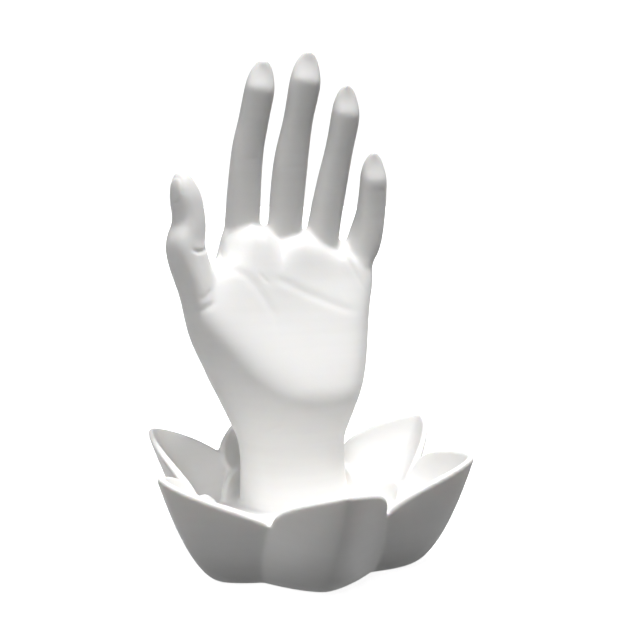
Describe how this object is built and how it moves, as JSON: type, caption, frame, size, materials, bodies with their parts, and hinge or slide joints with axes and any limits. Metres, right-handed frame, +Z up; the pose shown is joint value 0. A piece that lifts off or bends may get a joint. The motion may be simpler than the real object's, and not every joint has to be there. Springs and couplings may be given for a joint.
{
  "type": "hand jewelry stand",
  "caption": "Cast stand for rings and bracelets: an upright open left hand rising from a shallow bowl of lotus petals on a flat base.",
  "frame": {"origin": "centre of the flat base, on the axis of the petals", "axes": "+Z up through the hand, palm towards -Y, thumb towards -X"},
  "size_m": [0.1342, 0.1515, 0.2247],
  "materials": {
    "white_resin": "satin-matt white cast resin, slightly translucent at thin edges"
  },
  "bodies": {
    "root": {"hand_lotus_stand": "white_resin"}
  },
  "joints": []
}
